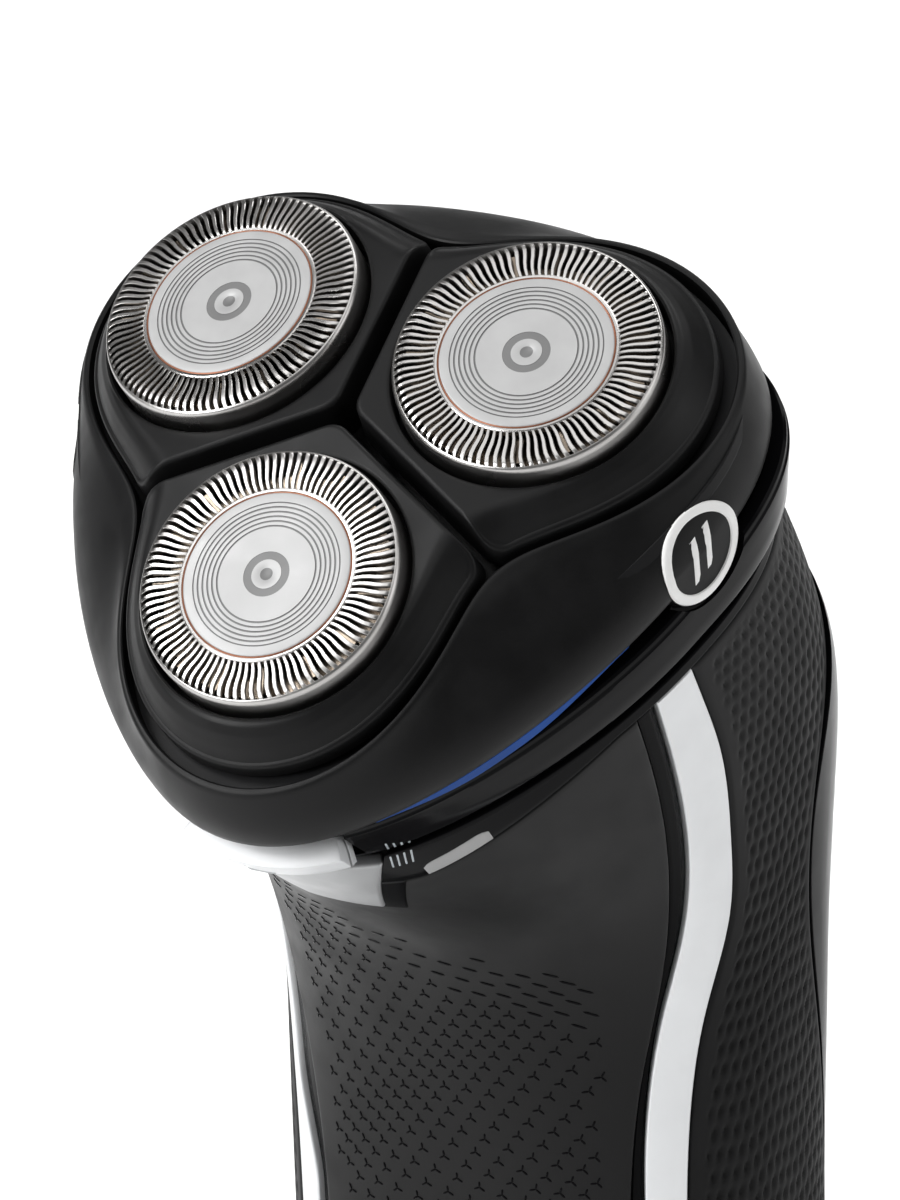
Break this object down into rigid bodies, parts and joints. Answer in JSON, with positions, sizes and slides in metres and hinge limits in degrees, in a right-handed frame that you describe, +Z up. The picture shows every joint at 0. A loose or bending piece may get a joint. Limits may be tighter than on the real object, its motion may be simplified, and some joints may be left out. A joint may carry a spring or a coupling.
{
  "type": "rotary electric shaver",
  "caption": "Cordless rotary shaver with floating round cutters on a flip-open head, curved grip handle, release and power buttons and a pop-up trimmer.",
  "frame": {"origin": "centre of the flat base face", "axes": "+Z up along the handle, -Y towards the front (release button and power button), +X to the right seen from the front"},
  "size_m": [0.0642, 0.0689, 0.1542],
  "materials": {
    "satin_black": "fine moulded satin",
    "gloss_black": "polished",
    "housing_black": "plain moulded",
    "rubber_black": "soft-touch rubber with raised scales",
    "satin_silver": "satin metallic paint",
    "button_silver": "satin metallic paint",
    "cap_steel": "polished stainless steel, slotted",
    "cutter_steel": "ground steel",
    "disc_grey": "turned satin",
    "badge_white": "moulded gloss",
    "accent_blue": "translucent deep blue",
    "pin_steel": "plain steel",
    "spindle_grey": "acetal",
    "gear_white": "natural acetal",
    "motor_can": "zinc plated",
    "battery_wrap": "shrink film",
    "board_green": "solder mask",
    "contact_brass": "plated",
    "lens_clear": "frosted"
  },
  "bodies": {
    "handle": {"front_housing": "housing_black", "back_housing": "gloss_black", "front_panel": "satin_black", "front_plate": "button_silver", "top_rim": "satin_silver", "led_lens": "lens_clear", "strip_right": "satin_silver", "strip_left": "satin_silver", "band_right": "gloss_black", "band_left": "gloss_black", "grip_right": "rubber_black", "grip_left": "rubber_black", "base_cap": "gloss_black", "base_screws": "pin_steel", "charging_socket": "housing_black", "socket_pins": "contact_brass", "chassis": "housing_black", "battery": "battery_wrap", "circuit_board": "board_green", "motor": "motor_can", "motor_bracket": "housing_black", "gear_plate": "housing_black", "plate_screws": "pin_steel", "collar": "gloss_black", "accent_ring": "accent_blue", "hair_chamber": "housing_black", "hinge_pin": "pin_steel", "trimmer_pin": "pin_steel"},
    "head": {"head_skirt": "satin_black", "head_frame": "satin_black", "retaining_frame": "satin_black", "badge_right": "badge_white", "badge_left": "badge_white"},
    "rotor": {"motor_shaft": "pin_steel", "sun_pinion": "gear_white"},
    "release_button": {"release_button": "button_silver"},
    "power_button": {"power_button": "gloss_black"},
    "trimmer": {"trimmer_cover": "gloss_black", "trimmer_comb": "cutter_steel"},
    "trimmer_blade": {"trimmer_blade": "cutter_steel"},
    "trimmer_slider": {"trimmer_slider": "gloss_black"},
    "petal_front": {"petal_front": "satin_black"},
    "cap_front": {"cap_front": "cap_steel", "cap_disc_front": "disc_grey"},
    "cutter_front": {"cutter_front": "cutter_steel"},
    "spindle_front": {"spindle_front": "spindle_grey", "gear_front": "gear_white"},
    "petal_right": {"petal_right": "satin_black"},
    "cap_right": {"cap_right": "cap_steel", "cap_disc_right": "disc_grey"},
    "cutter_right": {"cutter_right": "cutter_steel"},
    "spindle_right": {"spindle_right": "spindle_grey", "gear_right": "gear_white"},
    "petal_left": {"petal_left": "satin_black"},
    "cap_left": {"cap_left": "cap_steel", "cap_disc_left": "disc_grey"},
    "cutter_left": {"cutter_left": "cutter_steel"},
    "spindle_left": {"spindle_left": "spindle_grey", "gear_left": "gear_white"}
  },
  "joints": [
    {"name": "head_open", "type": "hinge", "parent": "handle", "child": "head", "pos_m": [0, 0.01608, 0.14443], "axis": [-1, 0, 0], "range_deg": [0, 100]},
    {"name": "rotor_spin", "type": "hinge", "parent": "handle", "child": "rotor", "pos_m": [0, -0.00392, 0.12818], "axis": [0, -0.454, 0.891], "continuous": true},
    {"name": "release_press", "type": "slide", "parent": "handle", "child": "release_button", "axis": [0, 0.891, 0.454], "range_m": [0, 0.0008], "stiffness_N_per_m": 400},
    {"name": "power_press", "type": "slide", "parent": "handle", "child": "power_button", "axis": [0, 1, 0], "range_m": [0, 0.0006], "stiffness_N_per_m": 500},
    {"name": "trimmer_slide", "type": "slide", "parent": "handle", "child": "trimmer_slider", "axis": [0, -0.2239, -0.9746], "range_m": [0, 0.005]},
    {"name": "trimmer_flip", "type": "hinge", "parent": "handle", "child": "trimmer", "pos_m": [0, 0.0202, 0.076], "axis": [-1, 0, 0], "range_deg": [0, 62]},
    {"name": "blade_stroke", "type": "slide", "parent": "trimmer", "child": "trimmer_blade", "axis": [1, 0, 0], "range_m": [-0.0007, 0.0007]},
    {"name": "petal_tilt_front", "type": "hinge", "parent": "head", "child": "petal_front", "pos_m": [0, -0.02283, 0.13567], "axis": [1, 0, 0], "range_deg": [-4, 4], "stiffness_Nm_per_rad": 0.1},
    {"name": "cap_float_front", "type": "slide", "parent": "petal_front", "child": "cap_front", "axis": [0, -0.5519, 0.8339], "range_m": [-0.001, 0], "stiffness_N_per_m": 350},
    {"name": "cutter_spin_front", "type": "hinge", "parent": "cap_front", "child": "cutter_front", "pos_m": [0, -0.0256, 0.13623], "axis": [0, -0.5519, 0.8339], "continuous": true},
    {"name": "spindle_spin_front", "type": "hinge", "parent": "handle", "child": "spindle_front", "pos_m": [0, -0.02045, 0.12537], "axis": [0, -0.454, 0.891], "continuous": true},
    {"name": "petal_tilt_right", "type": "hinge", "parent": "head", "child": "petal_right", "pos_m": [0.01165, -0.00486, 0.14483], "axis": [-0.5, 0.7716, 0.3932], "range_deg": [-4, 4], "stiffness_Nm_per_rad": 0.1},
    {"name": "cap_float_right", "type": "slide", "parent": "petal_right", "child": "cap_right", "axis": [0.098, -0.4006, 0.911], "range_m": [-0.001, 0], "stiffness_N_per_m": 350},
    {"name": "cutter_spin_right", "type": "hinge", "parent": "cap_right", "child": "cutter_right", "pos_m": [0.01356, -0.00467, 0.1469], "axis": [0.098, -0.4006, 0.911], "continuous": true},
    {"name": "spindle_spin_right", "type": "hinge", "parent": "handle", "child": "spindle_right", "pos_m": [0.01386, 0.00094, 0.13627], "axis": [0, -0.454, 0.891], "continuous": true},
    {"name": "petal_tilt_left", "type": "hinge", "parent": "head", "child": "petal_left", "pos_m": [-0.01165, -0.00486, 0.14483], "axis": [-0.5, -0.7716, -0.3932], "range_deg": [-4, 4], "stiffness_Nm_per_rad": 0.1},
    {"name": "cap_float_left", "type": "slide", "parent": "petal_left", "child": "cap_left", "axis": [-0.098, -0.4006, 0.911], "range_m": [-0.001, 0], "stiffness_N_per_m": 350},
    {"name": "cutter_spin_left", "type": "hinge", "parent": "cap_left", "child": "cutter_left", "pos_m": [-0.01356, -0.00467, 0.1469], "axis": [-0.098, -0.4006, 0.911], "continuous": true},
    {"name": "spindle_spin_left", "type": "hinge", "parent": "handle", "child": "spindle_left", "pos_m": [-0.01386, 0.00094, 0.13627], "axis": [0, -0.454, 0.891], "continuous": true}
  ],
  "couplings": [
    {"joint": "trimmer_flip", "follows": "trimmer_slide", "rad_per_m": 209.4},
    {"joint": "spindle_spin_front", "follows": "rotor_spin", "ratio": -0.66667},
    {"joint": "cutter_spin_front", "follows": "rotor_spin", "ratio": -0.66667},
    {"joint": "spindle_spin_right", "follows": "rotor_spin", "ratio": -0.66667},
    {"joint": "cutter_spin_right", "follows": "rotor_spin", "ratio": -0.66667},
    {"joint": "spindle_spin_left", "follows": "rotor_spin", "ratio": -0.66667},
    {"joint": "cutter_spin_left", "follows": "rotor_spin", "ratio": -0.66667}
  ]
}
